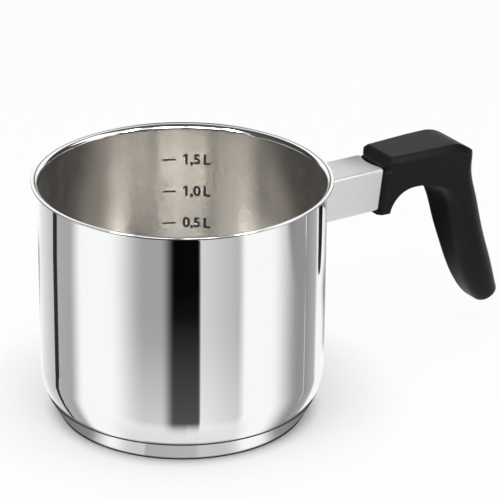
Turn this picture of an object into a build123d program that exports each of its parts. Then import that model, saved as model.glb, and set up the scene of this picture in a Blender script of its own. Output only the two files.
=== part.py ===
# Milk pan: a tall straight-sided stainless pot with a flared pouring rim and a capsule base,
# and a drop handle of black moulded plastic on a square stainless sleeve.
# Millimetres. Origin at the centre of the base's underside, +Z up, the handle towards +X.

import os
from math import asin, cos, degrees, radians, sin, sqrt, tan

from build123d import *

# Pot
bore_radius = 70.0
pot_height = 122.8
pot_sheet = 0.8
rim_bend = 3.0
rim_lip = 1.0
shoulder_radius = 36.0
shoulder_rise = 19.4
toe_radius = 9.0

# Capsule base
core_height = 6.2
cap_sheet = 0.7
cap_edge = 0.4
seam_rise = 4.15
foot_spread = 2.08
foot_round = 1.2
core_setback = 2.05
bond_gap = 0.02

# Square sleeve welded to the wall
sleeve_width = 23.5
sleeve_height = 22.4
sleeve_sheet = 1.2
sleeve_edge_round = 1.65
sleeve_end_round = 0.9
sleeve_drop = 26.3
sleeve_length = 39.8
notch_depth = 2.4
front_lean = 7.3

# Tongue inside the sleeve, which the handle screw draws up against
tongue_width = 14.0
tongue_thick = 3.0
tongue_rise = 4.9
tongue_end = 6.7
tongue_corner = 3.0

# Screw and its washer
screw_diameter = 5.0
screw_length = 9.5
screw_head = 9.0
screw_head_height = 2.9
screw_head_round = 1.0
screw_slot_width = 1.1
screw_slot_length = 5.0
screw_slot_depth = 1.6
screw_land = 2.2
washer_diameter = 9.0
washer_thick = 1.2
washer_split = 0.8

# Handle
front_cover = 0.95
handle_flare = 2.1
cover_height = 4.8
lip_step = 1.2
lip_run = 3.7
top_chamfer = 2.7
front_chamfer = 2.0
lip_corner_round = 6.0
ledge_width = 18.0
ledge_depth = 2.5
crown_rise = 9.5
leg_drop = 2.5
leg_thick = 6.7
arch_front_radius = 15.0
arch_flat = 1.5
arch_rear_radius = 24.0
top_bend_radius = 22.0
top_bend_angle = 42.0
back_run = 0.3
back_drop = 1.8
root_run = 24.95
root_angle = 25.0
grip_reach = 39.5
grip_drop = 77.6
grip_depth = 18.6
grip_tip_round = 3.2
spigot_length = 20.0
spigot_round = 2.0
spigot_nose = 1.5
slot_end = 2.0
bore_spare = 3.0

# Clearances
slide_fit = 0.15
screw_fit = 0.25
thread_fit = 0.05
overrun = 1.0

# Sizes worked out from the ones above
wall_radius = bore_radius + pot_sheet
rim_radius = bore_radius + rim_bend + rim_lip
floor_height = cap_sheet + core_height
shoulder_x = wall_radius - shoulder_radius
shoulder_height = floor_height + shoulder_rise
toe_z = floor_height + toe_radius
centres_apart = shoulder_radius - toe_radius
centres_drop = shoulder_height - toe_z
toe_x = shoulder_x + sqrt(centres_apart ** 2 - centres_drop ** 2)
meet_angle = -degrees(asin(centres_drop / centres_apart))
seam_height = floor_height + seam_rise
foot_radius = toe_x + foot_spread
core_ring_height = seam_height - core_setback
seam_inner = toe_x + sqrt(toe_radius ** 2 - (toe_z - seam_height) ** 2) + bond_gap

sleeve_middle = pot_height - sleeve_drop
sleeve_reach = wall_radius + sleeve_length
sleeve_top = sleeve_middle + sleeve_height / 2
sleeve_bottom = sleeve_middle - sleeve_height / 2
front_x = sleeve_reach + bond_gap
front_half = sleeve_width / 2 + front_cover
handle_half = front_half + handle_flare


def front_at(height, start):
    """X of a leaning front plane that passes through start at the sleeve's middle."""
    return start + (height - sleeve_middle) * tan(radians(front_lean))


def lean_plane(start):
    """The leaning plane that faces the pot."""
    lean = radians(front_lean)
    return Plane(origin=(start, 0, sleeve_middle), x_dir=(0, 1, 0), z_dir=(-cos(lean), 0, sin(lean)))


handle_top = sleeve_top + cover_height
step_height = sleeve_top + slide_fit
step_start = front_at(step_height, front_x)
lip_start = step_start + lip_step
lip_back = lip_start + lip_run
rear_height = handle_top - top_bend_radius * (1 - cos(radians(top_bend_angle)))
crown_height = sleeve_bottom + crown_rise
leg_bottom = sleeve_bottom - leg_drop
leg_front = front_at(leg_bottom, front_x)
leg_back = leg_front + leg_thick
arch_rise = arch_front_radius - (crown_height - leg_bottom)
arch_front_run = sqrt(arch_front_radius ** 2 - arch_rise ** 2)
arch_front_angle = degrees(asin(arch_front_run / arch_front_radius))
arch_front_x = leg_back + arch_front_run
arch_rear_x = arch_front_x + arch_flat
root_x = arch_rear_x + arch_rear_radius * sin(radians(root_angle))
rear_x = root_x + root_run
bend_start = rear_x - top_bend_radius * sin(radians(top_bend_angle))
root_height = crown_height - arch_rear_radius * (1 - cos(radians(root_angle)))
root_back_x = rear_x + back_run
root_back_height = rear_height - back_drop
root_depth = sqrt((root_back_height - root_height) ** 2 + (root_back_x - root_x) ** 2)
root_tilt = degrees(asin((root_back_height - root_height) / root_depth))
root_cut = top_chamfer / cos(radians(root_tilt))
screw_x = arch_front_x
tongue_height = sleeve_middle + tongue_rise
tongue_reach = screw_x + tongue_end
spigot_start = front_at(sleeve_bottom, front_x) - spigot_length
spigot_plane = Plane(origin=(spigot_start, 0, 0), x_dir=(0, 1, 0), z_dir=(1, 0, 0))
spigot_width = sleeve_width - 2 * (sleeve_sheet + slide_fit)
spigot_height = sleeve_height - 2 * (sleeve_sheet + slide_fit)
head_bottom = tongue_height - screw_land - washer_thick - screw_head_height

# Grip sections from the root to the tip. Each row: along and down to the inner edge, depth, tilt in
# degrees, half width, inner rounding, outer corner along the depth and across, bulge of that corner.
# The inner rounding and the corner along the depth are shares of the grip's depth.
grip_section_shares = (
    (0.000, 0.000, root_depth / grip_depth, root_tilt, 1.00,
     0.016, root_cut / grip_depth, top_chamfer / handle_half, 0.0),
    (0.137, 0.046, 1.160, 24.5, 1.00, 0.215, 0.207, 0.20, 0.4),
    (0.240, 0.111, 0.980, 22.0, 0.99, 0.318, 0.255, 0.29, 0.8),
    (0.316, 0.201, 0.950, 18.5, 0.97, 0.358, 0.318, 0.40, 1.0),
    (0.412, 0.381, 0.978, 18.0, 0.93, 0.366, 0.366, 0.46, 1.0),
    (0.514, 0.549, 0.984, 18.0, 0.90, 0.398, 0.398, 0.50, 1.0),
    (0.622, 0.710, 1.000, 18.5, 0.86, 0.414, 0.414, 0.52, 1.0),
    (0.739, 0.843, 0.941, 21.0, 0.82, 0.414, 0.414, 0.52, 1.0),
    (0.862, 0.940, 0.815, 24.0, 0.76, 0.382, 0.382, 0.48, 1.0),
    (0.972, 0.998, 0.680, 27.0, 0.69, 0.334, 0.334, 0.42, 1.0),
)


def grip_plane(section):
    """Plane of one section: origin on the inner edge, x across the grip to its back."""
    along, down, tilt = section[0], section[1], radians(section[3])
    return Plane(
        origin=(root_x + along * grip_reach, 0, root_height - down * grip_drop),
        x_dir=(cos(tilt), 0, sin(tilt)),
        z_dir=(-sin(tilt), 0, cos(tilt)),
    )


def grip_outline(section):
    """Closed outline with rounded inner corners and bevelled to rounded outer ones."""
    depth = section[2] * grip_depth
    half = section[4] * handle_half
    inner = section[5] * grip_depth
    along = section[6] * grip_depth
    across = section[7] * handle_half
    chord_share = 0.5
    arc_share = 1 - sqrt(chord_share)
    cut_share = chord_share + (arc_share - chord_share) * section[8]
    Line((0, half - inner), (0, inner - half))
    ThreePointArc((0, inner - half), (arc_share * inner, arc_share * inner - half), (inner, -half))
    Line((inner, -half), (depth - along, -half))
    for side in (-1, 1):
        start = (depth - along, side * half)
        middle = (depth - cut_share * along, side * (half - cut_share * across))
        finish = (depth, side * (half - across))
        if section[8]:
            ThreePointArc(start, middle, finish)
        else:
            Line(start, finish)
    Line((depth, across - half), (depth, half - across))
    Line((depth - along, half), (inner, half))
    ThreePointArc((inner, half), (arc_share * inner, half - arc_share * inner), (0, half - inner))


# Pot body: one spun sheet, followed from the middle of the floor to the rim and back inside
def pot_side(inset):
    """Floor, toe, shoulder and wall of the pot, inset from the outside of the sheet."""
    Line((0, floor_height + inset), (toe_x, floor_height + inset))
    CenterArc((toe_x, toe_z), toe_radius - inset, -90, 90 + meet_angle)
    CenterArc((shoulder_x, shoulder_height), shoulder_radius - inset, meet_angle, -meet_angle)
    Line((wall_radius - inset, shoulder_height), (wall_radius - inset, pot_height - rim_bend))


with BuildPart() as pot_body:
    with BuildSketch(Plane.XZ):
        with BuildLine():
            pot_side(0)
            CenterArc((bore_radius + rim_bend, pot_height - rim_bend), rim_bend - pot_sheet, 180, -90)
            Line(
                (bore_radius + rim_bend, pot_height - pot_sheet),
                (rim_radius - pot_sheet / 2, pot_height - pot_sheet),
            )
            CenterArc((rim_radius - pot_sheet / 2, pot_height - pot_sheet / 2), pot_sheet / 2, -90, 180)
            Line((rim_radius - pot_sheet / 2, pot_height), (bore_radius + rim_bend, pot_height))
            CenterArc((bore_radius + rim_bend, pot_height - rim_bend), rim_bend, 90, 90)
            pot_side(pot_sheet)
            Line((0, floor_height), (0, floor_height + pot_sheet))
        make_face()
    revolve(axis=Axis.Z)

# Capsule: a thin cup that closes the base, its edge set against the toe of the pot
with BuildPart() as base_cap:
    with BuildSketch(Plane.XZ) as cap_section:
        with BuildLine():
            Polyline(
                (0, 0),
                (foot_radius, 0),
                (seam_inner + cap_edge, seam_height),
                (seam_inner, seam_height),
                (foot_radius - cap_sheet, cap_sheet),
                (0, cap_sheet),
                close=True,
            )
        make_face()
        foot_corner = cap_section.vertices().group_by(Axis.Y)[0].sort_by(Axis.X)[-1]
        fillet(foot_corner, foot_round)
    revolve(axis=Axis.Z)

# Core: the heat-spreading disc pressed between the capsule and the pot's floor
with BuildPart() as base_core:
    with BuildSketch(Plane.XZ):
        ring_share = (core_ring_height - cap_sheet) / (seam_height - cap_sheet)
        core_foot = foot_radius - cap_sheet - bond_gap
        core_ring = core_foot + (seam_inner - foot_radius + cap_sheet) * ring_share
        with BuildLine():
            Polyline(
                (0, cap_sheet),
                (core_foot, cap_sheet),
                (core_ring, core_ring_height),
                (0, core_ring_height),
                close=True,
            )
        make_face()
        with BuildLine():
            Line((0, floor_height - bond_gap), (toe_x, floor_height - bond_gap))
            CenterArc((toe_x, toe_z), toe_radius + bond_gap, -90, 90)
            Line((toe_x + toe_radius + bond_gap, toe_z), (0, toe_z))
            Line((0, toe_z), (0, floor_height - bond_gap))
        make_face(mode=Mode.SUBTRACT)
    revolve(axis=Axis.Z)

# Sleeve: square tube, one end cut round to the wall, the other leaning with the handle's face
with BuildPart() as handle_sleeve:
    with BuildSketch(Plane.YZ.offset(bore_radius - rim_bend)):
        with Locations((0, sleeve_middle)):
            RectangleRounded(sleeve_width, sleeve_height, sleeve_edge_round)
            RectangleRounded(
                sleeve_width - 2 * sleeve_sheet,
                sleeve_height - 2 * sleeve_sheet,
                sleeve_edge_round - sleeve_sheet,
                mode=Mode.SUBTRACT,
            )
    extrude(amount=sleeve_reach - bore_radius + 2 * rim_bend + notch_depth)
    split(bisect_by=lean_plane(sleeve_reach), keep=Keep.TOP)
    with BuildSketch(Plane.XY.offset(sleeve_bottom - overrun)):
        Circle(wall_radius + bond_gap)
    extrude(amount=sleeve_height + 2 * overrun, mode=Mode.SUBTRACT)
    end_face = handle_sleeve.faces().sort_by(Axis.X)[-1]
    fillet(end_face.outer_wire().edges(), sleeve_end_round)
    notch_half = sleeve_width / 2 - sleeve_edge_round
    notch_radius = (notch_half ** 2 + notch_depth ** 2) / (2 * notch_depth)
    with BuildSketch(Plane.XY.offset(sleeve_top - sleeve_sheet)):
        with Locations((front_at(sleeve_top, sleeve_reach) - notch_depth + notch_radius, 0)):
            Circle(notch_radius)
    extrude(amount=sleeve_sheet + overrun, mode=Mode.SUBTRACT)

# Tongue: a steel strip welded to the wall, tapped at its end for the handle screw
with BuildPart() as handle_tongue:
    with BuildSketch(Plane.XY.offset(tongue_height)) as tongue_outline:
        with BuildLine():
            Polyline(
                (bore_radius - rim_bend, -tongue_width / 2),
                (tongue_reach, -tongue_width / 2),
                (tongue_reach, tongue_width / 2),
                (bore_radius - rim_bend, tongue_width / 2),
                close=True,
            )
        make_face()
        fillet(tongue_outline.vertices().group_by(Axis.X)[-1], tongue_corner)
        Circle(wall_radius + bond_gap, mode=Mode.SUBTRACT)
        with Locations((screw_x, 0)):
            Circle(screw_diameter / 2 + thread_fit, mode=Mode.SUBTRACT)
    extrude(amount=tongue_thick)

# Screw: pan head with a cross recess, driven up into the tongue from under the arch
with BuildPart() as handle_screw:
    with BuildSketch(Plane.XY.offset(head_bottom)):
        with Locations((screw_x, 0)):
            Circle(screw_head / 2)
    extrude(amount=screw_head_height)
    fillet(handle_screw.edges().group_by(Axis.Z)[0], screw_head_round)
    with BuildSketch(Plane.XY.offset(head_bottom + screw_head_height)):
        with Locations((screw_x, 0)):
            Circle(screw_diameter / 2)
    extrude(amount=screw_length)
    chamfer(handle_screw.edges().group_by(Axis.Z)[-1], screw_diameter / 8)
    with BuildSketch(Plane.XY.offset(head_bottom)):
        with Locations((screw_x, 0)):
            Rectangle(screw_slot_length, screw_slot_width)
            Rectangle(screw_slot_width, screw_slot_length)
    extrude(amount=screw_slot_depth, mode=Mode.SUBTRACT)

# Spring washer: a split ring between the screw's head and the land of the counterbore
with BuildPart() as spring_washer:
    with BuildSketch(Plane.XY.offset(head_bottom + screw_head_height)):
        with Locations((screw_x, 0)):
            Circle(washer_diameter / 2)
            Circle(screw_diameter / 2 + thread_fit, mode=Mode.SUBTRACT)
        with Locations((screw_x + washer_diameter / 2, 0)):
            Rectangle(washer_diameter, washer_split, mode=Mode.SUBTRACT)
    extrude(amount=washer_thick)

# Handle block: the side outline drawn across the width, flared in plan, then bevelled
with BuildPart() as handle_grip:
    with BuildSketch(Plane.XZ.offset(-handle_half)):
        with BuildLine():
            Polyline(
                (leg_front, leg_bottom),
                (step_start, step_height),
                (lip_start, step_height),
                (lip_back, handle_top),
                (bend_start, handle_top),
            )
            CenterArc((bend_start, handle_top - top_bend_radius), top_bend_radius, 90, -top_bend_angle)
            Polyline(
                (rear_x, rear_height),
                (root_back_x, root_back_height),
                (root_x, root_height),
            )
            CenterArc(
                (arch_rear_x, crown_height - arch_rear_radius),
                arch_rear_radius,
                90 - root_angle,
                root_angle,
            )
            Line((arch_rear_x, crown_height), (arch_front_x, crown_height))
            CenterArc(
                (arch_front_x, crown_height - arch_front_radius),
                arch_front_radius,
                90,
                arch_front_angle,
            )
            Line((leg_back, leg_bottom), (leg_front, leg_bottom))
        make_face()
    extrude(amount=2 * handle_half)
    with BuildSketch(Plane.XY.offset(leg_bottom)):
        with BuildLine():
            Polyline(
                (leg_front, -front_half),
                (root_x, -handle_half),
                (rear_x + overrun, -handle_half),
                (rear_x + overrun, handle_half),
                (root_x, handle_half),
                (leg_front, front_half),
                close=True,
            )
        make_face()
    extrude(amount=handle_top - leg_bottom, mode=Mode.INTERSECT)
    flanks = handle_grip.faces().filter_by(lambda face: abs(face.center().Y) > front_half / 2)
    crown_edges = flanks.edges().filter_by(
        lambda edge: (edge @ 0.5).Z > root_back_height and (edge @ 0.5).X > lip_back
    )
    chamfer(crown_edges, top_chamfer)
    flanks = handle_grip.faces().filter_by(lambda face: abs(face.center().Y) > front_half - top_chamfer / 4)
    front_edges = flanks.edges().filter_by(
        lambda edge: (edge @ 0.5).X < step_start and (edge @ 0.5).Z > sleeve_bottom
    )
    chamfer(front_edges, front_chamfer)

    # Corners of the lip, rounded in plan down to a ledge that shows through the sleeve's notch
    lip_half = front_half + (handle_half - front_half) * (lip_start - leg_front) / (root_x - leg_front)
    with BuildSketch() as lip_plan:
        with BuildLine():
            Polyline(
                (lip_start, -lip_half),
                (root_x, -handle_half),
                (root_x, handle_half),
                (lip_start, lip_half),
                close=True,
            )
        make_face()
        fillet(lip_plan.vertices().group_by(Axis.X)[0], lip_corner_round)
    with BuildSketch(Plane.XY.offset(step_height - ledge_depth)):
        with Locations((lip_start, 0)):
            Rectangle(2 * lip_corner_round, 2 * handle_half)
            Rectangle(2 * lip_corner_round, ledge_width, mode=Mode.SUBTRACT)
        add(lip_plan.sketch, mode=Mode.SUBTRACT)
    extrude(amount=cover_height + ledge_depth, mode=Mode.SUBTRACT)

    # Grip: a loft of sections that fan out from the block's rear and turn from bevelled to round
    for section in grip_section_shares:
        with BuildSketch(grip_plane(section)):
            with BuildLine():
                grip_outline(section)
            make_face()
    loft()
    fillet(handle_grip.faces().sort_by(Axis.Z)[0].edges(), grip_tip_round)

    # Spigot that fills the end of the sleeve, with a nose that guides it in
    with BuildSketch(spigot_plane):
        with Locations((0, sleeve_middle)):
            RectangleRounded(spigot_width, spigot_height, spigot_round)
    extrude(amount=spigot_length + lip_step)
    chamfer(handle_grip.faces().sort_by(Axis.X)[0].edges(), spigot_nose)

    # Slot for the tongue, counterbore and bores for the screw
    with BuildSketch(spigot_plane):
        with Locations((0, tongue_height + tongue_thick / 2)):
            Rectangle(tongue_width + 2 * slide_fit, tongue_thick + 2 * slide_fit)
    extrude(amount=tongue_reach + slot_end - spigot_start, mode=Mode.SUBTRACT)
    with BuildSketch(Plane.XY.offset(crown_height - overrun)):
        with Locations((screw_x, 0)):
            Circle(screw_head / 2 + screw_fit)
    extrude(amount=tongue_height - screw_land - crown_height + overrun, mode=Mode.SUBTRACT)
    with BuildSketch(Plane.XY.offset(tongue_height - screw_land - overrun)):
        with Locations((screw_x, 0)):
            Circle(screw_diameter / 2 + screw_fit)
    extrude(amount=screw_length - washer_thick + bore_spare, mode=Mode.SUBTRACT)

os.makedirs("parts", exist_ok=True)
for name, piece in (
    ("pot_body", pot_body),
    ("base_cap", base_cap),
    ("base_core", base_core),
    ("handle_sleeve", handle_sleeve),
    ("handle_tongue", handle_tongue),
    ("handle_screw", handle_screw),
    ("spring_washer", spring_washer),
    ("handle_grip", handle_grip),
):
    piece.part.label = name
    export_step(piece.part, f"parts/{name}.step")
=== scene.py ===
from math import atan2, cos, degrees, pi, radians, sin, sqrt

import bpy
from mathutils import Matrix, Vector


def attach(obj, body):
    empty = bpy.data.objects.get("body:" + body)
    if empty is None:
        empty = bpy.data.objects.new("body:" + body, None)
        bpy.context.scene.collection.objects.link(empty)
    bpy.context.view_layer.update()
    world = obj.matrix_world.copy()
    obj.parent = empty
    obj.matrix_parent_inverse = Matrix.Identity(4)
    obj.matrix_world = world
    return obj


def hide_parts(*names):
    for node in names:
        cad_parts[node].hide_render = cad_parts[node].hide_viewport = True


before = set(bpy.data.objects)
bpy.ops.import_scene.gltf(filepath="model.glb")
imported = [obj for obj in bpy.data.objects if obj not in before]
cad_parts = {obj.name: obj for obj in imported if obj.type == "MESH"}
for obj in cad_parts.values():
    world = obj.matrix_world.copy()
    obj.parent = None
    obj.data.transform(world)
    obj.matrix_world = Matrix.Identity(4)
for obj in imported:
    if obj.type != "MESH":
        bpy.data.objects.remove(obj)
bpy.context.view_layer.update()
print("frame loaded")

# Metres throughout, in the part's own frame: Z up, the handle along +X
mergeDistance = 1e-6  # points nearer than this become one


def deselectAll():
    for item in bpy.context.selected_objects:
        item.select_set(False)


def arcPoints(centre, radius, start, end, steps):
    points = []
    for step in range(steps + 1):
        angle = radians(start + (end - start) * step / steps)
        points.append((centre[0] + radius * cos(angle), centre[1] + radius * sin(angle)))
    return points


# A line drawn by extruding one point; it is left open in edit mode
def drawPath(name, path):
    deselectAll()
    bpy.ops.mesh.primitive_plane_add(size=1)
    piece = bpy.context.object
    piece.name = name
    piece.data.name = name
    bpy.ops.object.mode_set(mode="EDIT")
    bpy.ops.mesh.select_all(action="SELECT")
    bpy.ops.mesh.merge(type="CENTER")
    bpy.ops.transform.translate(value=path[0])
    for here, there in zip(path, path[1:]):
        step = tuple(after - before for before, after in zip(here, there))
        bpy.ops.mesh.extrude_vertices_move(TRANSFORM_OT_translate={"value": step})
    return piece


def spinProfile(name, path, steps, smoothAngle):
    piece = drawPath(name, [(x, 0, z) for x, z in path])
    bpy.ops.mesh.select_all(action="SELECT")
    bpy.ops.mesh.spin(steps=steps, angle=2 * pi, center=(0, 0, 0), axis=(0, 0, 1))
    bpy.ops.mesh.select_all(action="SELECT")
    bpy.ops.mesh.remove_doubles(threshold=mergeDistance)
    bpy.ops.mesh.normals_make_consistent(inside=False)
    bpy.ops.object.mode_set(mode="OBJECT")
    bpy.ops.object.shade_smooth_by_angle(angle=radians(smoothAngle))
    return piece


def finishPiece(piece, replaced=()):
    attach(piece, "root")
    if replaced:
        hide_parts(*replaced)


# Nodes that the materials share
def mathNode(tree, operation, first, second=None):
    node = tree.nodes.new("ShaderNodeMath")
    node.operation = operation
    for socket, value in zip(node.inputs, (first, second)):
        if value is None:
            continue
        if isinstance(value, (int, float)):
            socket.default_value = value
        else:
            tree.links.new(value, socket)
    return node.outputs[0]


def mapRange(tree, value, low, high, newLow, newHigh):
    node = tree.nodes.new("ShaderNodeMapRange")
    for label, number in (("From Min", low), ("From Max", high), ("To Min", newLow), ("To Max", newHigh)):
        node.inputs[label].default_value = number
    tree.links.new(value, node.inputs["Value"])
    return node.outputs[0]


def noiseNode(tree, vector, noise):
    node = tree.nodes.new("ShaderNodeTexNoise")
    for label, value in noise.items():
        node.inputs[label].default_value = value
    tree.links.new(vector, node.inputs["Vector"])
    return node.outputs["Fac"]


def stretchedPlace(tree, x, y, z):
    join = tree.nodes.new("ShaderNodeCombineXYZ")
    for value, socket in zip((x, y, z), join.inputs):
        tree.links.new(value, socket)
    return join.outputs[0]


def newGroup(name, inputs, outputs):
    group = bpy.data.node_groups.new(name, "ShaderNodeTree")
    for label, value in inputs.items():
        socket = group.interface.new_socket(label, in_out="INPUT", socket_type="NodeSocketFloat")
        socket.default_value = value
    for label in outputs:
        group.interface.new_socket(label, in_out="OUTPUT", socket_type="NodeSocketFloat")
    values = group.nodes.new("NodeGroupInput").outputs
    results = group.nodes.new("NodeGroupOutput").inputs
    place = group.nodes.new("ShaderNodeTexCoord").outputs["Object"]
    return group, values, results, place


# Marks of the lathe: fine rings round the pot's axis, and a broad cloud over them
turning = {
    "inputs": {"Fineness": 6000, "Drift": 12},
    "rings": {"Scale": 1, "Detail": 3, "Roughness": 0.6},
    "cloud": {"Scale": 30, "Detail": 2},
}


def makeTurningLines():
    group, values, results, place = newGroup("turningLines", turning["inputs"], ("Lines", "Cloud"))
    split = group.nodes.new("ShaderNodeSeparateXYZ")
    group.links.new(place, split.inputs[0])
    x, y, z = split.outputs
    squares = [mathNode(group, "MULTIPLY", value, value) for value in (x, y)]
    radius = mathNode(group, "SQRT", mathNode(group, "ADD", *squares))
    along = mathNode(group, "MULTIPLY", mathNode(group, "ADD", radius, z), values["Fineness"])
    drifts = [mathNode(group, "MULTIPLY", value, values["Drift"]) for value in (x, y)]
    rings = noiseNode(group, stretchedPlace(group, *drifts, along), turning["rings"])
    group.links.new(rings, results["Lines"])
    group.links.new(noiseNode(group, place, turning["cloud"]), results["Cloud"])
    return group


# Marks of the brushing belt, along the arm
brushing = {
    "inputs": {"Along": 30, "Across": 5000},
    "strokes": {"Scale": 1, "Detail": 2},
}


def makeBrushedLines():
    group, values, results, place = newGroup("brushedLines", brushing["inputs"], ("Lines",))
    split = group.nodes.new("ShaderNodeSeparateXYZ")
    group.links.new(place, split.inputs[0])
    stretches = (values["Along"], values["Across"], values["Across"])
    stretched = [mathNode(group, "MULTIPLY", *pair) for pair in zip(split.outputs, stretches)]
    strokes = noiseNode(group, stretchedPlace(group, *stretched), brushing["strokes"])
    group.links.new(strokes, results["Lines"])
    return group


turningLines = makeTurningLines()
brushedLines = makeBrushedLines()
maskRange = (0.3, 0.7)  # where the noise of a mask mostly lies


def newMaterial(name, look):
    material = bpy.data.materials.new(name)
    material.use_nodes = True
    shader = material.node_tree.nodes["Principled BSDF"]
    shader.inputs["Base Color"].default_value = (*look["colour"], 1)
    shader.inputs["Metallic"].default_value = look["metallic"]
    return material, material.node_tree, shader


def addGroup(tree, group, values):
    node = tree.nodes.new("ShaderNodeGroup")
    node.node_tree = group
    for label, value in values.items():
        node.inputs[label].default_value = value
    return node.outputs


def varyRoughness(tree, shader, mask, look):
    roughness = mapRange(tree, mask, *maskRange, *look["roughness"])
    tree.links.new(roughness, shader.inputs["Roughness"])


def addBump(tree, shader, height, look):
    bump = tree.nodes.new("ShaderNodeBump")
    bump.inputs["Strength"].default_value = look["bumpStrength"]
    bump.inputs["Distance"].default_value = look["bumpDepth"]
    tree.links.new(height, bump.inputs["Height"])
    tree.links.new(bump.outputs[0], shader.inputs["Normal"])
    return bump


# Polished outside of the pot and the cap
mirrorLook = {
    "colour": (0.94, 0.94, 0.935),
    "metallic": 1,
    "roughness": (0.03, 0.055),
    "turning": {"Fineness": 2500, "Drift": 8},
}


def makeMirrorSteel():
    material, tree, shader = newMaterial("mirrorSteel", mirrorLook)
    lines = addGroup(tree, turningLines, mirrorLook["turning"])
    varyRoughness(tree, shader, lines["Cloud"], mirrorLook)
    return material


# Turned inside of the pot, which stretches reflections round the axis
satinLook = {
    # the warm tint of this colour is a painted reflection of milk in the pot
    "colour": (0.84, 0.82, 0.79),
    "metallic": 1,
    "roughness": (0.18, 0.22),
    "turning": {"Fineness": 9000, "Drift": 5},
    "stretch": 0.8,
    "stretchTurn": 0.25,
    "bumpStrength": 0.04,
    "bumpDepth": 0.0001,
}


def makeSatinSteel():
    material, tree, shader = newMaterial("satinSteel", satinLook)
    shader.inputs["Anisotropic"].default_value = satinLook["stretch"]
    shader.inputs["Anisotropic Rotation"].default_value = satinLook["stretchTurn"]
    tangent = tree.nodes.new("ShaderNodeTangent")
    tangent.direction_type = "RADIAL"
    tangent.axis = "Z"
    tree.links.new(tangent.outputs[0], shader.inputs["Tangent"])
    lines = addGroup(tree, turningLines, satinLook["turning"])
    varyRoughness(tree, shader, lines["Lines"], satinLook)
    addBump(tree, shader, lines["Lines"], satinLook)
    return material


# Brushed sleeve
sleeveLook = {
    "colour": (0.7, 0.7, 0.695),
    "metallic": 1,
    "roughness": (0.27, 0.33),
    "brushing": {"Along": 60, "Across": 14000},
    "bumpStrength": 0.03,
    "bumpDepth": 0.0001,
}


def makeSleeveSteel():
    material, tree, shader = newMaterial("sleeveSteel", sleeveLook)
    lines = addGroup(tree, brushedLines, sleeveLook["brushing"])
    varyRoughness(tree, shader, lines["Lines"], sleeveLook)
    addBump(tree, shader, lines["Lines"], sleeveLook)
    return material


# Plated screw, washer and tongue
zincLook = {
    "colour": (0.66, 0.66, 0.65),
    "metallic": 1,
    "roughness": (0.24, 0.4),
    "turning": {"Fineness": 900, "Drift": 60},
}


def makeZincSteel():
    material, tree, shader = newMaterial("zincSteel", zincLook)
    lines = addGroup(tree, turningLines, zincLook["turning"])
    varyRoughness(tree, shader, lines["Cloud"], zincLook)
    return material


# Pressed core
coreLook = {
    "colour": (0.7, 0.7, 0.71),
    "metallic": 1,
    "roughness": (0.35, 0.5),
    "turning": {"Fineness": 1500, "Drift": 20},
}


def makeCoreAluminium():
    material, tree, shader = newMaterial("coreAluminium", coreLook)
    lines = addGroup(tree, turningLines, coreLook["turning"])
    varyRoughness(tree, shader, lines["Lines"], coreLook)
    return material


# Moulded handle, with a fine grain and slightly rounded edges
plasticLook = {
    "colour": (0.0045, 0.0045, 0.0043),
    "metallic": 0,
    "roughness": (0.36, 0.46),
    "refraction": 1.25,
    "grain": {"Scale": 2500, "Detail": 2},
    "bumpStrength": 0.25,
    "bumpDepth": 0.00015,
    "softEdge": 0.0016,
    "softSamples": 8,
}


def makeBlackPlastic():
    material, tree, shader = newMaterial("blackPlastic", plasticLook)
    shader.inputs["IOR"].default_value = plasticLook["refraction"]
    place = tree.nodes.new("ShaderNodeTexCoord").outputs["Object"]
    grain = noiseNode(tree, place, plasticLook["grain"])
    varyRoughness(tree, shader, grain, plasticLook)
    bump = addBump(tree, shader, grain, plasticLook)
    bevel = tree.nodes.new("ShaderNodeBevel")
    bevel.samples = plasticLook["softSamples"]
    bevel.inputs["Radius"].default_value = plasticLook["softEdge"]
    tree.links.new(bevel.outputs[0], bump.inputs["Normal"])
    return material


# Ink of the litre marks
inkLook = {"colour": (0.012, 0.012, 0.012), "metallic": 0, "roughness": (0.45, 0.6)}


def makeMarkInk():
    material, tree, shader = newMaterial("markInk", inkLook)
    varyRoughness(tree, shader, addGroup(tree, turningLines, {})["Cloud"], inkLook)
    return material


# Painted shade under the lip and along the bead where the sleeve meets the wall: a dark steel that stands
# for the shade there
paintedShadeLook = {
    "colour": (0.06, 0.06, 0.058),
    "metallic": 1,
    "roughness": (0.4, 0.6),
    "turning": {"Fineness": 6000, "Drift": 14},
}


def makePaintedShadeSteel():
    material, tree, shader = newMaterial("paintedShadeSteel", paintedShadeLook)
    lines = addGroup(tree, turningLines, paintedShadeLook["turning"])
    varyRoughness(tree, shader, lines["Lines"], paintedShadeLook)
    return material


# Painted shade of the groove between the cap and the pot
seamShadeLook = {"colour": (0.02, 0.019, 0.018), "metallic": 0, "roughness": (0.5, 0.7)}


def makeSeamShade():
    material, tree, shader = newMaterial("seamShade", seamShadeLook)
    varyRoughness(tree, shader, addGroup(tree, turningLines, {})["Cloud"], seamShadeLook)
    return material


mirrorSteel = makeMirrorSteel()
satinSteel = makeSatinSteel()
sleeveSteel = makeSleeveSteel()
zincSteel = makeZincSteel()
coreAluminium = makeCoreAluminium()
blackPlastic = makeBlackPlastic()
markInk = makeMarkInk()
paintedShadeSteel = makePaintedShadeSteel()
seamShade = makeSeamShade()
print("materials made")

# Pot: spun from its half section, outside first, then over the rim and down the inside
pot = {
    "bore": 0.070,
    "height": 0.1228,
    "sheet": 0.0008,
    "rimBend": 0.003,
    "rimLip": 0.001,
    "shoulder": 0.036,
    "shoulderZ": 0.0263,
    "toe": 0.009,
    "floorZ": 0.0069,
    "steps": 256,
    "arcSteps": {"toe": 16, "shoulder": 20, "rimOutside": 12, "lip": 10, "rimInside": 14},
    "flatShares": (0.25, 0.5, 0.75),
    "smoothAngle": 40,
    "floorFacing": 0.5,
    "underLipFacing": -0.2,
}


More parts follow.
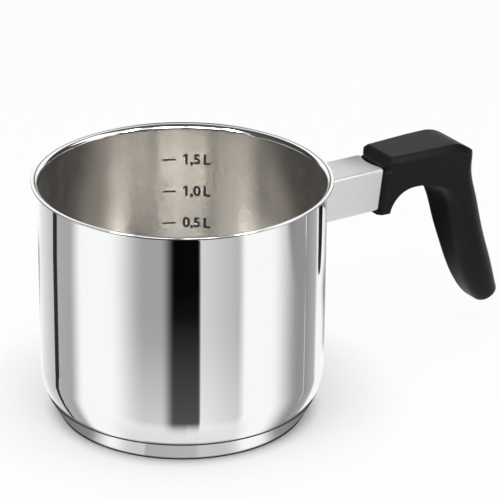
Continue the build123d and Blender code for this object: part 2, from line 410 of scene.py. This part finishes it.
def potSide(inset):
    wall = pot["bore"] + pot["sheet"]
    steps = pot["arcSteps"]
    shoulderX = wall - pot["shoulder"]
    toeZ = pot["floorZ"] + pot["toe"]
    drop = pot["shoulderZ"] - toeZ
    toeX = shoulderX + sqrt((pot["shoulder"] - pot["toe"]) ** 2 - drop ** 2)
    meet = -degrees(atan2(drop, toeX - shoulderX))
    rimZ = pot["height"] - pot["rimBend"]
    side = [(toeX * share, pot["floorZ"] + inset) for share in (0, *pot["flatShares"])]
    side += arcPoints((toeX, toeZ), pot["toe"] - inset, -90, meet, steps["toe"])
    shoulder = arcPoints((shoulderX, pot["shoulderZ"]), pot["shoulder"] - inset, meet, 0, steps["shoulder"])
    side += shoulder[1:]
    for share in pot["flatShares"]:
        side.append((wall - inset, pot["shoulderZ"] + (rimZ - pot["shoulderZ"]) * share))
    return side


def makePot():
    steps = pot["arcSteps"]
    bend = (pot["bore"] + pot["rimBend"], pot["height"] - pot["rimBend"])
    half = pot["sheet"] / 2
    lip = (bend[0] + pot["rimLip"] - half, pot["height"] - half)
    path = potSide(0)
    path += arcPoints(bend, pot["rimBend"] - pot["sheet"], 180, 90, steps["rimOutside"])
    path += arcPoints(lip, half, -90, 90, steps["lip"])
    path += arcPoints(bend, pot["rimBend"], 90, 180, steps["rimInside"])
    path += reversed(potSide(pot["sheet"]))
    piece = spinProfile("potBody", path, pot["steps"], pot["smoothAngle"])
    for material in (mirrorSteel, satinSteel, paintedShadeSteel):
        piece.data.materials.append(material)
    for face in piece.data.polygons:
        x, y, z = face.center
        inward = face.normal.x * x + face.normal.y * y < 0 or face.normal.z > pot["floorFacing"]
        if z < bend[1] and inward:
            face.material_index = 1
        # the faces under the lip get the painted shade
        if z > bend[1] and face.normal.z < pot["underLipFacing"]:
            face.material_index = 2
    finishPiece(piece, ["pot_body"])


makePot()
print("pot made")

# Base cap: the thin cup under the pot, with painted shade of the groove on its upper edge
cap = {
    "foot": 0.0618,
    "footRound": 0.0012,
    "roundSteps": 8,
    "sheet": 0.0007,
    "edge": 0.0004,
    "edgeBevel": 0.0001,
    "seamZ": 0.01105,
    "seamInner": 0.06732,
    "steps": 256,
    "flatShares": (0, 0.25, 0.5, 0.75),
    "smoothAngle": 40,
    "topFacing": 0.1,
}


def makeCap():
    rim = cap["seamInner"] + cap["edge"]
    rise = atan2(cap["seamZ"], rim - cap["foot"])
    tangent = cap["footRound"] * (1 - cos(rise)) / sin(rise)
    centre = (cap["foot"] - tangent, cap["footRound"])
    path = [(cap["foot"] * share, 0) for share in cap["flatShares"]]
    path += arcPoints(centre, cap["footRound"], -90, degrees(rise) - 90, cap["roundSteps"])
    path += [
        (rim, cap["seamZ"] - cap["edgeBevel"]),
        (rim - cap["edgeBevel"], cap["seamZ"]),
        (cap["seamInner"], cap["seamZ"]),
        (cap["foot"] - cap["sheet"], cap["sheet"]),
        (0, cap["sheet"]),
    ]
    piece = spinProfile("baseCap", path, cap["steps"], cap["smoothAngle"])
    for material in (mirrorSteel, seamShade):
        piece.data.materials.append(material)
    # painted shade on the cap's upper edge, which also keeps that edge from glinting
    for face in piece.data.polygons:
        onEdge = face.center.z > cap["seamZ"] - 2 * cap["edgeBevel"]
        if onEdge and face.normal.z > cap["topFacing"]:
            face.material_index = 1
    finishPiece(piece, ["base_cap"])


makeCap()

# Painted shade of the groove between the cap and the pot: a dark bead lying in the groove
seam = {
    "radius": 0.06752,
    "thickness": 0.00026,
    "height": 0.01125,
    "segments": 256,
    "sides": 10,
}


def makeSeam():
    deselectAll()
    bpy.ops.mesh.primitive_torus_add(
        major_radius=seam["radius"],
        minor_radius=seam["thickness"],
        major_segments=seam["segments"],
        minor_segments=seam["sides"],
        location=(0, 0, seam["height"]),
    )
    bpy.ops.object.transform_apply(location=True, rotation=True, scale=True)
    bpy.ops.object.shade_smooth()
    piece = bpy.context.object
    piece.name = "seamShadeLine"
    piece.data.materials.append(seamShade)
    finishPiece(piece)


makeSeam()
print("base made")

# The frame's own pieces keep their shape and get a finish
dressed = {
    "base_core": coreAluminium,
    "handle_sleeve": sleeveSteel,
    "handle_tongue": zincSteel,
    "handle_screw": zincSteel,
    "spring_washer": zincSteel,
    "handle_grip": blackPlastic,
}

for node, material in dressed.items():
    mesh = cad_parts[node].data
    mesh.materials.clear()
    mesh.materials.append(material)
print("handle dressed")

# Painted shade where the sleeve meets the wall: a thin dark bead along the join
sleeveJointShade = {
    "halfWidth": 0.01175,
    "bottom": 0.0853,
    "top": 0.1077,
    "corner": 0.0018,
    "cornerSteps": 5,
    "flatShares": (0.6, 0.2, -0.2, -0.6),
    "wall": 0.0709,
    "thickness": 0.0004,
}


def makeSleeveJointShade():
    side = sleeveJointShade["halfWidth"] - sleeveJointShade["corner"]
    upper = sleeveJointShade["top"] - sleeveJointShade["corner"]
    lower = sleeveJointShade["bottom"] + sleeveJointShade["corner"]
    outline = []
    for y, z, start in ((side, upper, 0), (-side, upper, 90), (-side, lower, 180), (side, lower, 270)):
        outline += arcPoints((y, z), sleeveJointShade["corner"], start, start + 90, sleeveJointShade["cornerSteps"])
        if start in (0, 180):
            outline += [(y * share, outline[-1][1]) for share in sleeveJointShade["flatShares"]]
    outline.append(outline[0])
    drawPath("sleeveJointShadeBead", [(sqrt(sleeveJointShade["wall"] ** 2 - y * y), y, z) for y, z in outline])
    bpy.ops.mesh.select_all(action="SELECT")
    bpy.ops.mesh.remove_doubles(threshold=mergeDistance)
    bpy.ops.object.mode_set(mode="OBJECT")
    bpy.ops.object.convert(target="CURVE")
    bpy.context.object.data.bevel_depth = sleeveJointShade["thickness"]
    bpy.ops.object.convert(target="MESH")
    bpy.ops.object.shade_smooth()
    piece = bpy.context.object
    piece.data.materials.append(paintedShadeSteel)
    finishPiece(piece)


makeSleeveJointShade()
print("weld made")

# Litre marks printed on the far inner wall
marks = {
    "words": ("1,5 L", "1,0 L", "0,5 L"),
    "facing": 58.9,
    "upper": 0.1036,
    "pitch": 0.0176,
    "fontSize": 0.00756,
    "wordSpace": 0.6,
    "bolder": 0.00025,
    "ink": 0.0001,
    "textStart": 0.1,
    "tickStart": -8.2,
    "tickEnd": -2.7,
    "tickHeight": 0.0008,
    "tickCuts": 5,
    "flag": {"size": (0.0018, 0.0008), "place": (0.00085, 0.0022), "slant": 42},
}


def wrapOnWall(piece, startAngle, height):
    for vertex in piece.data.vertices:
        x, y, z = vertex.co
        angle = radians(marks["facing"] - startAngle) - x / pot["bore"]
        radius = pot["bore"] - z
        vertex.co = (radius * cos(angle), radius * sin(angle), height + y)


# The short slanting stroke at the top of a 1
def addFlag(figure):
    flag = marks["flag"]
    bpy.ops.mesh.primitive_cube_add(size=1, rotation=(0, 0, radians(flag["slant"])))
    stroke = bpy.context.object
    stroke.scale = (*flag["size"], 2 * marks["ink"])
    stroke.location = (*flag["place"], 0)
    bpy.ops.object.transform_apply(location=True, rotation=True, scale=True)
    figure.select_set(True)
    bpy.context.view_layer.objects.active = figure
    bpy.ops.object.join()


def makeFigure(name, word, height):
    deselectAll()
    bpy.ops.object.text_add()
    figure = bpy.context.object
    figure.name = name
    figure.data.body = word
    figure.data.align_y = "CENTER"
    figure.data.size = marks["fontSize"]
    figure.data.space_word = marks["wordSpace"]
    figure.data.offset = marks["bolder"]
    figure.data.extrude = marks["ink"]
    bpy.ops.object.convert(target="MESH")
    figure = bpy.context.object
    if word.startswith("1"):
        addFlag(figure)
    wrapOnWall(figure, marks["textStart"], height)
    figure.data.materials.append(markInk)
    finishPiece(figure)


def makeTick(name, height):
    deselectAll()
    length = radians(marks["tickEnd"] - marks["tickStart"]) * pot["bore"]
    bpy.ops.mesh.primitive_cube_add(size=1)
    tick = bpy.context.object
    tick.name = name
    tick.scale = (length, marks["tickHeight"], 2 * marks["ink"])
    tick.location = (length / 2, 0, 0)
    bpy.ops.object.transform_apply(location=True, rotation=True, scale=True)
    bpy.ops.object.mode_set(mode="EDIT")
    bpy.ops.mesh.select_all(action="SELECT")
    bpy.ops.mesh.subdivide(number_cuts=marks["tickCuts"])
    bpy.ops.object.mode_set(mode="OBJECT")
    wrapOnWall(tick, marks["tickStart"], height)
    tick.data.materials.append(markInk)
    finishPiece(tick)


for number, word in enumerate(marks["words"]):
    height = marks["upper"] - number * marks["pitch"]
    makeFigure("litreFigure" + str(number + 1), word, height)
    makeTick("litreTick" + str(number + 1), height)
print("marks made")

# Camera at the photograph's angle
cameraView = {
    "aim": (0.03952, 0, 0.07502),
    "azimuth": -32.547,
    "elevation": 23.994,
    "roll": 0.61,
    "distance": 1.4594,
    "lens": 209.86,
    "sensor": 36,
}


def makeCamera():
    azimuth = radians(cameraView["azimuth"])
    elevation = radians(cameraView["elevation"])
    back = Vector((sin(azimuth) * cos(elevation), -cos(azimuth) * cos(elevation), sin(elevation)))
    camera = bpy.data.objects.new("photoCamera", bpy.data.cameras.new("photoCamera"))
    bpy.context.scene.collection.objects.link(camera)
    camera.data.lens = cameraView["lens"]
    camera.data.sensor_width = cameraView["sensor"]
    turn = (-back).to_track_quat("-Z", "Y").to_matrix().to_4x4()
    place = Matrix.Translation(Vector(cameraView["aim"]) + back * cameraView["distance"])
    camera.matrix_world = place @ turn @ Matrix.Rotation(radians(cameraView["roll"]), 4, "Z")
    bpy.context.scene.camera = camera


makeCamera()

# Floor: pale paper that takes the pan's shadow. The camera sees it glow more and more away from the foot,
# so that it is darker
# near the foot: a painted shadow round the foot, over the real one. Reflections see it white from the
# foot's edge on.
floorPaper = {
    "size": 6,
    "paper": 0.58,
    "white": 0.94,
    "footGlow": 0.1,
    "nearGlow": 0.5,
    "footRadius": 0.0618,
    "nearRadius": 0.07,
    "farRadius": 0.115,
    "mirrorFrom": 0.061,
    "mirrorTo": 0.0635,
}


def makeFloor():
    deselectAll()
    bpy.ops.mesh.primitive_plane_add(size=floorPaper["size"])
    floor = bpy.context.object
    floor.name = "studioFloor"
    material = bpy.data.materials.new("floorPaper")
    material.use_nodes = True
    tree = material.node_tree
    tree.nodes.clear()
    paper = tree.nodes.new("ShaderNodeBsdfDiffuse")
    paper.inputs["Color"].default_value = (*[floorPaper["paper"]] * 3, 1)
    glow = tree.nodes.new("ShaderNodeEmission")
    length = tree.nodes.new("ShaderNodeVectorMath")
    length.operation = "LENGTH"
    tree.links.new(tree.nodes.new("ShaderNodeTexCoord").outputs["Object"], length.inputs[0])
    radius = length.outputs["Value"]
    nearRadius, nearGlow, white = floorPaper["nearRadius"], floorPaper["nearGlow"], floorPaper["white"]
    # painted shadow: less glow towards the foot
    near = mapRange(tree, radius, floorPaper["footRadius"], nearRadius, floorPaper["footGlow"], nearGlow)
    far = mapRange(tree, radius, nearRadius, floorPaper["farRadius"], 0, white - nearGlow)
    mirrored = mapRange(tree, radius, floorPaper["mirrorFrom"], floorPaper["mirrorTo"], 0, white)
    rays = tree.nodes.new("ShaderNodeLightPath").outputs
    seen = mathNode(tree, "MULTIPLY", rays["Is Camera Ray"], mathNode(tree, "ADD", near, far))
    mirrored = mathNode(tree, "MULTIPLY", rays["Is Glossy Ray"], mirrored)
    mix = tree.nodes.new("ShaderNodeMixShader")
    tree.links.new(mathNode(tree, "MAXIMUM", seen, mirrored), mix.inputs[0])
    tree.links.new(paper.outputs[0], mix.inputs[1])
    tree.links.new(glow.outputs[0], mix.inputs[2])
    output = tree.nodes.new("ShaderNodeOutputMaterial")
    tree.links.new(mix.outputs[0], output.inputs[0])
    floor.data.materials.append(material)


# World and lamps: the world is white where it is seen and softer where it only lights
studio = {
    "ambient": 0.55,
    "lampAim": (0.05, 0, 0.06),
    "lamps": {
        "overheadLamp": {"place": (-0.25, -0.35, 1.35), "size": 1.0, "power": 16},
        "leftLamp": {"place": (-1.3, -0.3, 0.8), "size": 0.8, "power": 8},
        "rightLamp": {"place": (1.2, -0.9, 0.7), "size": 0.7, "power": 5},
    },
}


def makeWorld():
    world = bpy.data.worlds.new("studioWorld")
    bpy.context.scene.world = world
    world.use_nodes = True
    tree = world.node_tree
    background = tree.nodes["Background"]
    background.inputs["Color"].default_value = (1, 1, 1, 1)
    rays = tree.nodes.new("ShaderNodeLightPath").outputs
    seen = mathNode(tree, "MAXIMUM", rays["Is Camera Ray"], rays["Is Glossy Ray"])
    seen = mathNode(tree, "MAXIMUM", seen, rays["Is Transmission Ray"])
    tree.links.new(mapRange(tree, seen, 0, 1, studio["ambient"], 1), background.inputs["Strength"])


def makeLamps():
    for name, values in studio["lamps"].items():
        lamp = bpy.data.objects.new(name, bpy.data.lights.new(name, "AREA"))
        bpy.context.scene.collection.objects.link(lamp)
        lamp.data.size = values["size"]
        lamp.data.energy = values["power"]
        lamp.visible_glossy = False
        lamp.location = values["place"]
        aim = Vector(values["place"]) - Vector(studio["lampAim"])
        lamp.rotation_euler = aim.to_track_quat("Z", "Y").to_euler()


makeFloor()
makeWorld()
makeLamps()

# Cards: dark, grey and white sheets that only reflections see, round the pot like a light tent.
# A card's angles say where on the wall it is seen, in degrees from the side that faces the camera,
# growing to the right of the picture. Its soft sides fade over that many degrees, and its tones are
# the brightness at the two sides.
cards = {
    "cameraAzimuth": -121.1,
    "wall": 0.0708,
    "ring": 0.118,  # circle on which a card stands
    "footEdge": 0.0605,
    "lift": 0.0001,  # height of one layer over the floor
    "lyingRows": 16,
    "standingRows": 8,
    "columnsPerDegree": 2,
    "fewestColumns": 8,
    "hemStart": 0.05,
}
plainCard = {
    "at": 1,  # share of the way from the wall to the ring where it stands
    "base": 0,
    "top": 0.118,
    "foot": -1,  # share from which it lies on the floor, -1 at the edge of the pot's foot
    "hem": 12,  # how fast that side of it fades in, and hemOut the other side, which is at end
    "rise": 0,  # how much brighter it gets towards the floor, from the height riseTo down
    "riseTo": 0.1,
    "layer": 1,
    "seenFrom": 0,
    "radius": None,  # of a plain circle to stand on instead
}
capStyle = {"end": 0.02, "top": 0, "layer": 2}
highStyle = {"foot": None, "radius": 0.35, "base": 0.33, "top": 0.6}
wallCards = {
    "leftEdgeCard": {"angles": (-82, -62.4), "soft": (5, 0.4), "tones": (0.95, 0.54)},
    "leftLineCard": {"angles": (-62.8, -58.8), "soft": (0.4, 0.4), "tones": (0.035, 0.02), "at": 0.98},
    "leftGreyCard": {"angles": (-59.6, -43), "soft": (0.3, 8), "tones": (0.43, 0.36)},
    "middleGreyCard": {
        "angles": (-30.5, 2), "soft": (16, 0.3), "tones": (0.37, 0.37),
        "foot": 0.1, "hem": 1.2, "rise": 0.25, "riseTo": 0.05,
    },
    "middleBlackCard": {
        "angles": (-8.6, 7.3), "soft": (5.5, 0.7), "tones": (0.002, 0.002), "at": 0.96,
        "foot": 0.2, "hem": 1.5, "rise": 0.075, "riseTo": 0.062, "layer": 1.8,
    },
    "rightGreyCard": {
        "angles": (2, 26), "soft": (0.2, 4), "tones": (0.75, 0.44),
        "foot": 0.1, "hem": 1.2, "rise": 0.16, "riseTo": 0.05, "layer": 1.4,
    },
    "farGreyCard": {"angles": (36.5, 58), "soft": (17, 0.4), "tones": (0.29, 0.3)},
    "farFootCard": {"angles": (57.4, 69), "soft": (0.3, 3), "tones": (0.28, 0.5), "at": 0.3},
    "backLeftCard": {"angles": (-46, -8), "soft": (14, 2), "tones": (0.35, 0.4), "seenFrom": 180},
    "backBlackCard": {
        "angles": (-7, 6), "soft": (4, 0.5), "tones": (0.01, 0.01),
        "foot": 0.82, "rise": 0.07, "seenFrom": 180,
    },
    "backRightCard": {"angles": (14, 30), "soft": (1, 8), "tones": (0.16, 0.12), "seenFrom": 180},
}
floorCards = {
    "capLeftCard": {"angles": (-89, -34), "soft": (1, 16), "tones": (0.1, 0.3)},
    "capMiddleCard": {"angles": (-34, 30), "soft": (12, 12), "tones": (0.64, 0.56)},
    "capDimCard": {"angles": (-18, 8.5), "soft": (1, 3), "tones": (0.44, 0.48), "layer": 3},
    "capRightCard": {"angles": (40, 89), "soft": (16, 1), "tones": (0.3, 0.12)},
    "frontFootCard": {
        "angles": (-36, 31), "soft": (14, 8), "tones": (0.76, 0.8),
        "end": 0.7, "hemOut": 1.6, "layer": 0.5,
    },
    # painted contact shadow under the foot's edge, for the foot to reflect
    "footShadowCard": {
        "angles": (-180, 180), "soft": (0.1, 0.1), "tones": (0.02, 0.02),
        "foot": -1.2, "end": -0.75, "hemOut": 20, "layer": 4,
    },
}
highCards = {
    "horizonCard": {
        "angles": (-75, 75), "soft": (10, 10), "tones": (0.02, 0.02),
        "radius": 0.4, "base": 0.125, "top": 0.2,
    },
    "horizonBackCard": {
        "angles": (75, 285), "soft": (10, 10), "tones": (0.2, 0.2),
        "radius": 0.4, "base": 0.125, "top": 0.17,
    },
    "highBackCard": {
        "angles": (172, 187), "soft": (5, 5), "tones": (0.15, 0.15),
        "radius": 0.4, "base": 0.19, "top": 0.5,
    },
    "underHighCard": {
        "angles": (-60, 60), "soft": (6, 6), "tones": (0.02, 0.02),
        "radius": 0.38, "base": 0.19, "top": 0.335,
    },
    "highSoftCard": {"angles": (-3, 30), "soft": (6, 6), "tones": (8.6, 8.6)},
    "highDimCard": {"angles": (-38, -4), "soft": (6, 6), "tones": (3.6, 5.8)},
    "highRightStripCard": {"angles": (44, 58), "soft": (5, 5), "tones": (44, 44)},
    "highLeftStripCard": {"angles": (-57, -43), "soft": (5, 5), "tones": (44, 44)},
    "sleeveEdgeCard": {
        "angles": (74, 124), "soft": (4, 10), "tones": (1.9, 1.9),
        "radius": 0.355, "base": 0.36, "top": 0.68,
    },
    "highRightDarkCard": {
        "angles": (90, 150), "soft": (4, 10), "tones": (0.1, 0.02),
        "radius": 0.36, "base": 0.13, "top": 1.1,
    },
    "highLeftDarkCard": {
        "angles": (-150, -60), "soft": (10, 4), "tones": (0.02, 0.1),
        "radius": 0.36, "base": 0.13, "top": 1.1,
    },
}


def makeCardTone():
    material = bpy.data.materials.new("cardTone")
    material.use_nodes = True
    tree = material.node_tree
    tree.nodes.clear()
    tone = tree.nodes.new("ShaderNodeAttribute")
    tone.attribute_name = "tone"
    cover = tree.nodes.new("ShaderNodeAttribute")
    cover.attribute_name = "cover"
    clear = tree.nodes.new("ShaderNodeBsdfTransparent")
    glow = tree.nodes.new("ShaderNodeEmission")
    mix = tree.nodes.new("ShaderNodeMixShader")
    output = tree.nodes.new("ShaderNodeOutputMaterial")
    tree.links.new(tone.outputs["Fac"], glow.inputs["Strength"])
    tree.links.new(cover.outputs["Fac"], mix.inputs[0])
    tree.links.new(clear.outputs[0], mix.inputs[1])
    tree.links.new(glow.outputs[0], mix.inputs[2])
    tree.links.new(mix.outputs[0], output.inputs[0])
    return material


cardTone = makeCardTone()


def smooth(share):
    share = min(max(share, 0), 1)
    return share * share * (3 - 2 * share)


# A grid whose points are placed, toned and faded by shape, from their shares across and along
def addCard(name, columns, rows, shape):
    deselectAll()
    bpy.ops.mesh.primitive_grid_add(x_subdivisions=columns, y_subdivisions=rows, size=1)
    piece = bpy.context.object
    piece.name = name
    for label in ("tone", "cover"):
        piece.data.attributes.new(label, "FLOAT", "POINT")
    tones = piece.data.attributes["tone"].data
    covers = piece.data.attributes["cover"].data
    for index, vertex in enumerate(piece.data.vertices):
        place, tone, cover = shape(vertex.co.x + 0.5, vertex.co.y + 0.5)
        vertex.co = place
        tones[index].value = tone
        covers[index].value = cover
    piece.data.materials.append(cardTone)
    piece.visible_camera = False
    piece.visible_diffuse = False
    piece.visible_shadow = False
    piece.visible_transmission = False
    piece.visible_volume_scatter = False


# Where a card has to be, for the wall to show it at this angle: on the line that the view takes
# after its reflection, at a share of the way from the wall to the ring
def reflectedPlace(facing, share, radius):
    angle = radians(facing)
    wall = cards["wall"]
    if share < 0:
        radius = wall + share * (wall - cards["footEdge"])
    if radius:
        return radius * cos(angle), radius * sin(angle)
    travel = sqrt(cards["ring"] ** 2 - (wall * sin(angle)) ** 2) - wall * cos(angle)
    x = wall * cos(angle) + share * travel * cos(2 * angle)
    y = wall * sin(angle) + share * travel * sin(2 * angle)
    return x, y


def cardRungs(card):
    rungs = []
    if card["foot"] is not None:
        step = (card.get("end", card["at"]) - card["foot"]) / cards["lyingRows"]
        rungs += [(card["foot"] + step * row, 0) for row in range(cards["lyingRows"] + 1)]
    if card["top"] > card["base"]:
        rows = cards["standingRows"]
        step = (card["top"] - card["base"]) / rows
        firstRow = 0 if card["base"] else 1  # the lying part already ends at the floor
        rungs += [(card["at"], card["base"] + step * row) for row in range(firstRow, rows + 1)]
    return rungs


def makeCard(name, card):
    first, last = card["angles"]
    width = last - first
    rungs = cardRungs(card)
    turn = radians(cards["cameraAzimuth"] + card["seenFrom"])
    firstTone, lastTone = card["tones"]
    firstSoft, lastSoft = card["soft"]

    def shape(across, along):
        share, height = rungs[round(along * (len(rungs) - 1))]
        cover = smooth(across * width / firstSoft) * smooth((1 - across) * width / lastSoft)
        if card["foot"] is not None:
            cover *= smooth((share - card["foot"]) * card["hem"] + cards["hemStart"])
        if "hemOut" in card:
            cover *= smooth((card["end"] - share) * card["hemOut"])
        tone = firstTone + (lastTone - firstTone) * across
        tone += card["rise"] * max(0, 1 - height / card["riseTo"])
        x, y = reflectedPlace(first + across * width, share, card["radius"])
        lifted = height + cards["lift"] * card["layer"]
        return (x * cos(turn) - y * sin(turn), x * sin(turn) + y * cos(turn), lifted), tone, cover

    columns = max(cards["fewestColumns"], round(width * cards["columnsPerDegree"]))
    addCard(name, columns, len(rungs) - 1, shape)


for group, style in ((wallCards, {}), (floorCards, capStyle), (highCards, highStyle)):
    for name, card in group.items():
        makeCard(name, {**plainCard, **style, **card})

# Dark patches on the floor, for the sleeve and the handle to reflect
patches = {
    "frontPatchCard": {
        "start": (0.19, -0.04), "end": (0.31, -0.238), "width": 0.1, "soft": 0.35, "tone": 0.15,
    },
    "behindPatchCard": {
        "start": (0.085, 0.01), "end": (0.085, 0.25), "width": 0.25, "soft": 0.2, "tone": 0.03,
    },
}
patchCells = 16
patchLayer = 6


def makePatch(name, patch):
    start = Vector(patch["start"])
    run = Vector(patch["end"]) - start
    side = Vector((-run.y, run.x)).normalized() * patch["width"]

    def shape(across, along):
        edges = [(0.5 - abs(share - 0.5)) / patch["soft"] for share in (across, along)]
        place = start + run * along + side * (across - 0.5)
        height = cards["lift"] * patchLayer
        return (place.x, place.y, height), patch["tone"], smooth(edges[0]) * smooth(edges[1])

    addCard(name, patchCells, patchCells, shape)


for name, patch in patches.items():
    makePatch(name, patch)

# A dark ceiling, soft at its edge
ceiling = {"height": 0.5, "radius": 0.32, "tone": 0.08, "rings": 2, "sectors": 32}


def ceilingShape(outward, around):
    reach = outward * ceiling["radius"]
    angle = around * 2 * pi
    place = (reach * cos(angle), reach * sin(angle), ceiling["height"])
    return place, ceiling["tone"], min(1, 2 - 2 * outward)


addCard("ceilingCard", ceiling["rings"], ceiling["sectors"], ceilingShape)
bpy.context.scene.view_settings.view_transform = "Standard"
print("studio made")
